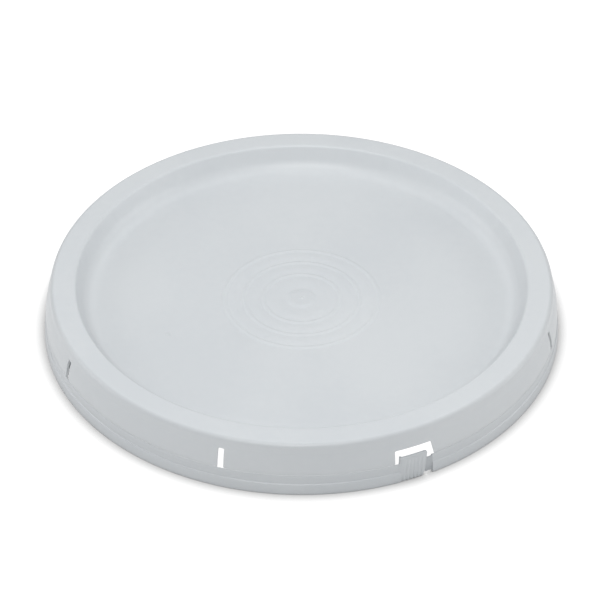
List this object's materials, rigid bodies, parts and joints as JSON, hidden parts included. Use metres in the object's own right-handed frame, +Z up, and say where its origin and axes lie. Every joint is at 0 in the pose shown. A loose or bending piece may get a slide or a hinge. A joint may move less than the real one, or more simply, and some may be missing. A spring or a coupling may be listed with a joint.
{
  "type": "fermenting bucket lid",
  "caption": "Round push-on lid for a plastic fermenting bucket, with a recessed panel, slotted skirt, gasket and a tear-off strip with a ribbed pull tab.",
  "frame": {"origin": "centre of the round footprint, on the surface that the lid lies on", "axes": "+Z up, away from the bucket; -Y through the middle of the pull tab; +X to the right as seen from the tab"},
  "size_m": [0.3178, 0.3179, 0.033],
  "materials": {
    "hdpe_shell": "satin translucent white, faint moulding flow",
    "hdpe_strip": "satin translucent white, vertical ribs on the tab",
    "hdpe_web": "thin translucent web",
    "gasket": "soft matte elastomer"
  },
  "bodies": {
    "tear_strip": {"tear_strip_rest": "hdpe_strip", "breakaway_web": "hdpe_web"},
    "lid": {"lid_panel": "hdpe_shell", "plug_wall": "hdpe_shell", "stacking_ring": "hdpe_shell", "skirt_section_1": "hdpe_shell", "skirt_section_2": "hdpe_shell", "skirt_section_3": "hdpe_shell", "skirt_section_4": "hdpe_shell", "skirt_section_5": "hdpe_shell", "skirt_section_6": "hdpe_shell", "skirt_section_7": "hdpe_shell", "skirt_section_8": "hdpe_shell", "gasket_ring": "gasket"},
    "strip_third": {"tear_strip_3": "hdpe_strip"},
    "strip_second": {"tear_strip_2": "hdpe_strip"},
    "strip_first": {"tear_strip_1": "hdpe_strip"},
    "tab": {"pull_tab": "hdpe_strip"}
  },
  "joints": [
    {"name": "lid_lift", "type": "slide", "parent": "tear_strip", "child": "lid", "axis": [0, 0, 1], "range_m": [0, 0.03]},
    {"name": "strip_hinge_3", "type": "hinge", "parent": "tear_strip", "child": "strip_third", "pos_m": [-0.14136, 0.07279, 0.006], "axis": [0, 0, -1], "range_deg": [0, 60]},
    {"name": "strip_hinge_2", "type": "hinge", "parent": "strip_third", "child": "strip_second", "pos_m": [-0.15621, -0.02967, 0.006], "axis": [0, 0, -1], "range_deg": [0, 60]},
    {"name": "strip_hinge_1", "type": "hinge", "parent": "strip_second", "child": "strip_first", "pos_m": [-0.10483, -0.11955, 0.006], "axis": [0, 0, -1], "range_deg": [0, 60]},
    {"name": "tab_hinge", "type": "hinge", "parent": "strip_first", "child": "tab", "pos_m": [-0.009, -0.15875, 0.006], "axis": [0, 0, -1], "range_deg": [0, 120]}
  ]
}
